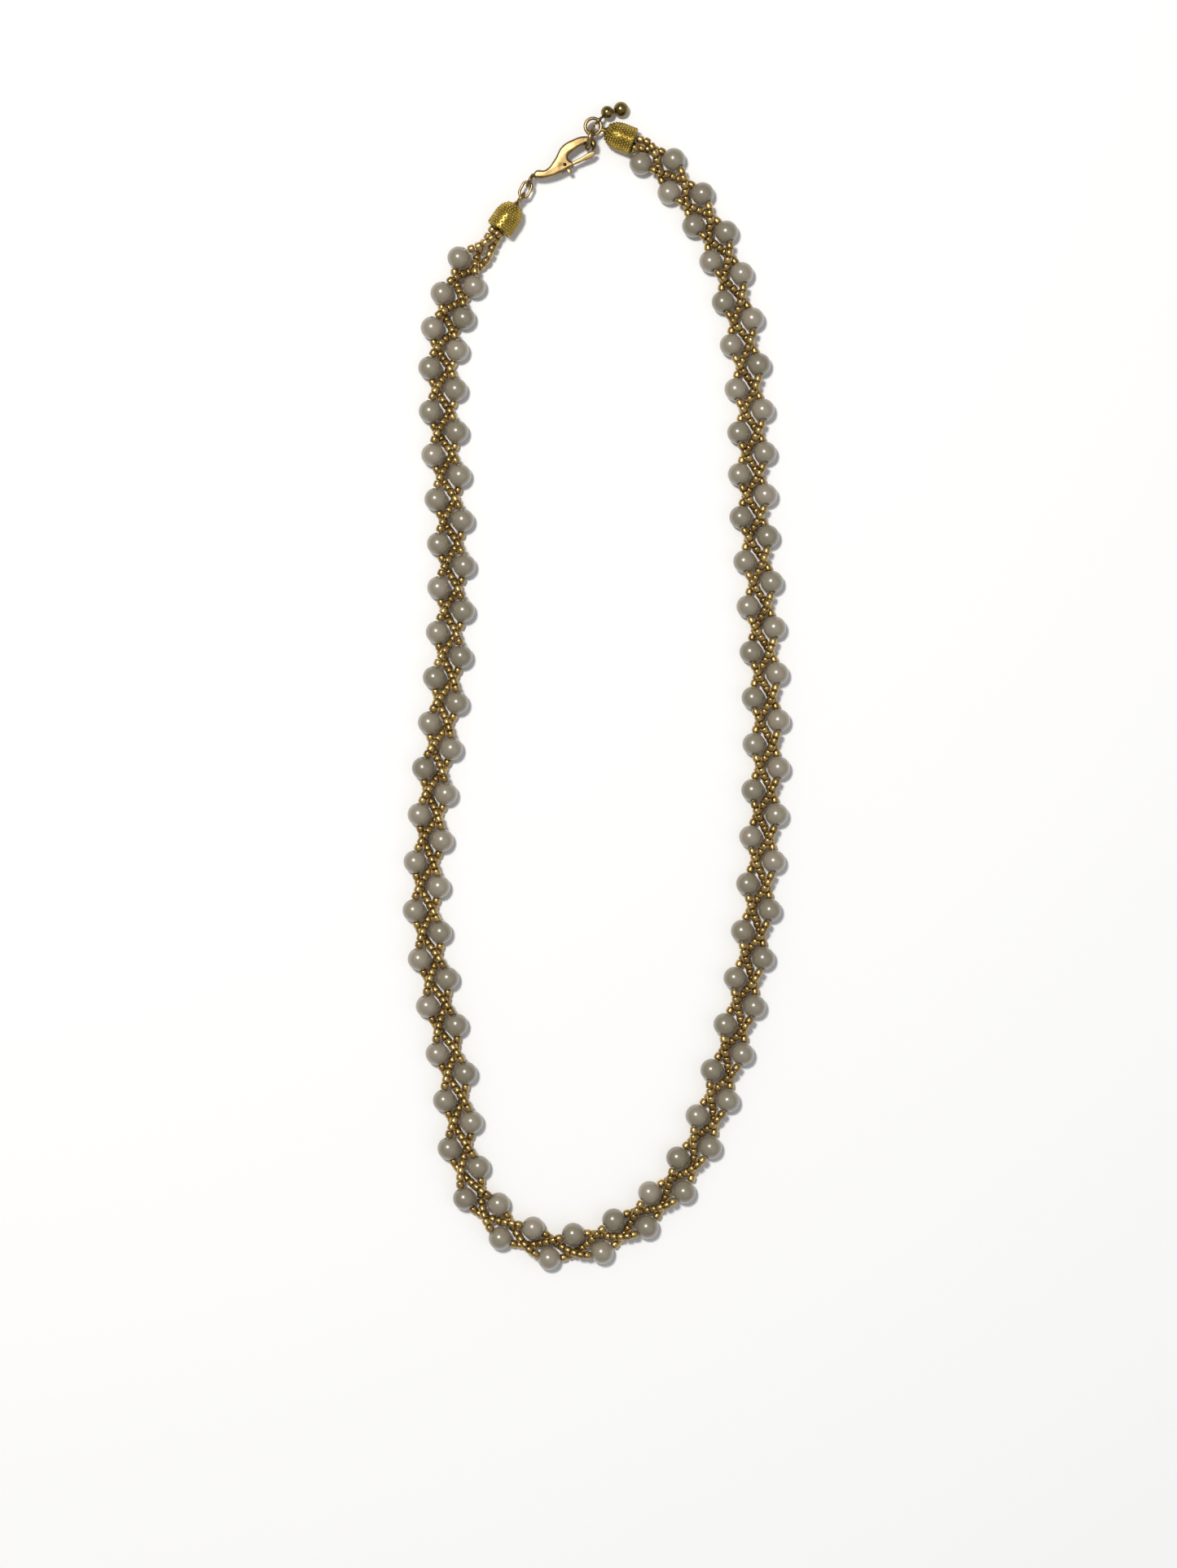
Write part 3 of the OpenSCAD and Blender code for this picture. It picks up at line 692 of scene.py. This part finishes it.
# ---------------------------------------------------------------------------------------------
# The clasp's body: a small cast brass clasp with a swelling neck, a long hole under its spine
# and a blunt nose. It is tumbled until its edges are soft, and its tail eye hangs on the link.
clasp_way = math.radians(28)
pivot_in_clasp = Vector((0.0065, -0.0005, 0))
clasp_place = (
    Matrix.Translation(pivots["lever_hinge"]) @ Matrix.Rotation(clasp_way, 4, "Z")
    @ Matrix.Translation(-pivot_in_clasp)
)
half_clasp = 0.0009

clasp_gold = clouded_gold(
    "clasp_gold", 700, 5, (0.17, 0.11, 0.045), (0.38, 0.27, 0.12), (0.22, 0.45), cast=0.3
)


def soft_plate(name, outlines, half_thick, edge):
    """A plate with soft edges from smooth closed outlines in mm, an outer one and any holes."""
    flat = bpy.data.curves.new(name, "CURVE")
    flat.dimensions = "2D"
    flat.fill_mode = "BOTH"
    flat.extrude = half_thick - edge
    flat.bevel_depth = edge
    flat.bevel_resolution = 4
    flat.offset = -edge
    flat.resolution_u = 10
    for outline in outlines:
        spline = flat.splines.new("BEZIER")
        spline.bezier_points.add(len(outline) - 1)
        for point, at in zip(spline.bezier_points, outline):
            point.co = (at[0] / 1000, at[1] / 1000, 0)
            point.handle_left_type = point.handle_right_type = "AUTO"
        spline.use_cyclic_u = True
    holder = bpy.data.objects.new(name, flat)
    scene.collection.objects.link(holder)
    ready = holder.evaluated_get(bpy.context.evaluated_depsgraph_get())
    mesh = bpy.data.meshes.new_from_object(ready)
    bpy.data.objects.remove(holder)
    shape = bmesh.new()
    shape.from_mesh(mesh)
    bmesh.ops.remove_doubles(shape, verts=shape.verts, dist=1e-7)
    bmesh.ops.recalc_face_normals(shape, faces=shape.faces)
    for face in shape.faces:
        face.smooth = True
    shape.to_mesh(mesh)
    shape.free()
    mesh.name = name
    return mesh


def cut_box(name, low_corner, high_corner):
    block = bmesh.new()
    bmesh.ops.create_cube(block, size=1)
    size = Vector(high_corner) - Vector(low_corner)
    middle = (Vector(high_corner) + Vector(low_corner)) / 2
    bmesh.ops.transform(
        block, verts=block.verts,
        matrix=Matrix.Translation(middle) @ Matrix.Diagonal((*size, 1)),
    )
    mesh = bpy.data.meshes.new(name)
    block.to_mesh(mesh)
    block.free()
    return mesh


def cut_away(mesh, cutters):
    """The mesh less some other meshes."""
    keep = bpy.data.objects.new(mesh.name, mesh)
    scene.collection.objects.link(keep)
    tools = []
    for cutter in cutters:
        tool = bpy.data.objects.new(cutter.name, cutter)
        scene.collection.objects.link(tool)
        tools.append(tool)
        cut = keep.modifiers.new(cutter.name, "BOOLEAN")
        cut.operation = "DIFFERENCE"
        cut.solver = "MANIFOLD"
        cut.object = tool
    ready = keep.evaluated_get(bpy.context.evaluated_depsgraph_get())
    result = bpy.data.meshes.new_from_object(ready)
    for spare in [keep, *tools]:
        bpy.data.objects.remove(spare)
    return result


body_outline = [
    (0.85, 0.1), (1.5, 0.93), (3.2, 0.34), (5.3, 1.15), (7.5, 2.55), (9.7, 2.72), (11.9, 2.2),
    (13.05, 0.9), (12.3, -0.68), (9.9, -1.27), (7.4, -1.38), (5.4, -1.42), (3.1, -1.1), (1.4, -0.43),
]
hole_outline = [
    (7.52, 0.1), (7.85, 0.72), (8.6, 0.9), (11.0, 1.03), (11.85, 0.8), (12.08, 0.25),
    (11.8, -0.35), (11.0, -0.55), (8.5, -0.68), (7.8, -0.52),
]
plate = soft_plate("clasp_plate", [body_outline, hole_outline], half_clasp, 0.00042)
gate_cut = cut_box("gate_cut", (0.0078, -0.004, -0.0015), (0.0123, -0.0004, 0.0015))
slot_cut = cut_box("slot_cut", (0.00545, -0.004, -0.00055), (0.0123, -0.0003, 0.00055))
pocket_outline = [
    (0.00001, -0.00055), (0.00088, -0.00055), (0.00088, 0.00055), (0.00001, 0.00055),
]
pocket_cut = turned(pocket_outline, 48, "pocket_cut")
pocket_cut.transform(Matrix.Translation(pivot_in_clasp))
slotted = cut_away(plate, [gate_cut, slot_cut, pocket_cut])
tail_turn = Matrix.Rotation(math.radians(35), 4, "Z")
tail_ring = wires("clasp_tail", [ring_line(0.00105, 40)], pin_radius, closed=True, sides=4)
tail_ring.transform(tail_turn)
mesh = joined_meshes("clasp_mesh", [slotted, tail_ring])
for polygon in mesh.polygons:
    polygon.use_smooth = True
clasp = placed_piece("clasp_casting", mesh, clasp_gold, clasp_place)
softened = clasp.modifiers.new("even_shading", "WEIGHTED_NORMAL")
softened.keep_sharp = True
fitted(clasp, "clasp", "gold_clasp", "clasp_body")

# ---------------------------------------------------------------------------------------------
# The lever: a thin brass arm in the clasp's slot that closes the gap under the hole, with a
# small thumb nub.
lever_outline = [
    (5.78, -0.3), (6.3, 0.2), (6.95, 0.05), (7.4, -0.42), (9.0, -0.62), (11.9, -0.72), (12.18, -1.05),
    (11.8, -1.38), (9.2, -1.32), (7.4, -1.25), (7.05, -1.5), (7.0, -2.0), (6.65, -2.22),
    (6.35, -1.95), (6.3, -1.4), (5.85, -0.95),
]
lever_plate = soft_plate("lever_plate", [lever_outline], 0.00045, 0.00015)
lever = placed_piece("clasp_lever_arm", lever_plate, clasp_gold, clasp_place)
fitted(lever, "lever", "gold_clasp", "clasp_lever")

# ---------------------------------------------------------------------------------------------
# The rivet that the lever turns on, with low domed heads, and the fine coil spring round it.
rivet_outline = [
    (0.00005, -0.0009), (0.0003, -0.0009), (0.00035, -0.00082), (0.00035, 0.00082),
    (0.0003, 0.0009), (0.00005, 0.0009),
]
rivet_mesh = turned(rivet_outline, 32, "rivet_mesh")
rivet_place = clasp_place @ Matrix.Translation(pivot_in_clasp)
rivet = placed_piece("clasp_rivet_pin", rivet_mesh, clasp_gold, rivet_place)
fitted(rivet, "clasp", "gold_clasp", "clasp_rivet")

spring_steel, made, joined = new_finish("bright_spring_steel")
skin = made["Principled BSDF"]
skin.inputs["Base Color"].default_value = (0.42, 0.41, 0.39, 1)
skin.inputs["Metallic"].default_value = 1
skin.inputs["Roughness"].default_value = 0.28
coil = [
    Vector((
        0.0005 * math.cos(2 * math.pi * k / 24), 0.0005 * math.sin(2 * math.pi * k / 24),
        0.00030 + 0.00010 * k / 48,
    )) for k in range(49)
]
spring_mesh = wires("spring_mesh", [coil], 0.00005)
spring = placed_piece("lever_spring", spring_mesh, spring_steel, rivet_place)
fitted(spring, "clasp", "spring_steel", "clasp_spring")

# ---------------------------------------------------------------------------------------------
# The end drop: a small pin bent to a loop on the right eye, with two hollow brass balls on it,
# a small one and a larger one.
ball_gold = clouded_gold(
    "ball_gold", 900, 4, (0.11, 0.08, 0.02), (0.32, 0.24, 0.08), (0.26, 0.26)
)

balls = {}
for size in ["small", "large"]:
    low_corner, high_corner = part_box(f"drop_ball_{size}")
    balls[size] = ((low_corner + high_corner) / 2, (high_corner.x - low_corner.x) / 2)
drop_eye = pivots["drop_swing"]
small_at, small_radius = balls["small"]
large_at, large_radius = balls["large"]
drop_way = table_way(46)
drop_loop_radius = 0.000675
drop_wire_radius = 0.000225
ball_hole = 0.000245
ball_wall = 0.0002
loop_line = [drop_eye + facing(drop_way).to_3x3() @ p for p in ring_line(drop_loop_radius, 40)]
reach = (small_at - drop_eye).normalized()
pin_line = [
    drop_eye + reach * drop_loop_radius, small_at - reach * 0.0002, small_at,
    small_at + (large_at - small_at).normalized() * 0.0003, large_at,
]
mesh = joined_meshes("drop_pin_mesh", [
    wires("drop_loop", [loop_line], drop_wire_radius, closed=True),
    wires("drop_stem", [pin_line], drop_wire_radius),
])
drop = placed_piece("drop_wire", mesh, wire_gold)
fitted(drop, "drop", "gold_wire", "drop_pin")

for size, way in [("small", reach), ("large", (large_at - small_at).normalized())]:
    at, radius = balls[size]
    start = math.asin(ball_hole / radius)
    arc = [start + (math.pi - 2 * start) * i / 20 for i in range(21)]
    shell = [(radius * math.sin(a), radius * math.cos(a)) for a in arc]
    inner = radius - ball_wall
    shell += [(max(ball_hole, inner * math.sin(a)), inner * math.cos(a)) for a in arc[::-1]]
    mesh = turned(shell, 40, f"ball_mesh_{size}")
    turn = way.to_track_quat("Z", "Y").to_matrix().to_4x4()
    ball = placed_piece(f"{size}_drop_ball", mesh, ball_gold, Matrix.Translation(at) @ turn)
    fitted(ball, "drop", "gold_wire", f"drop_ball_{size}")
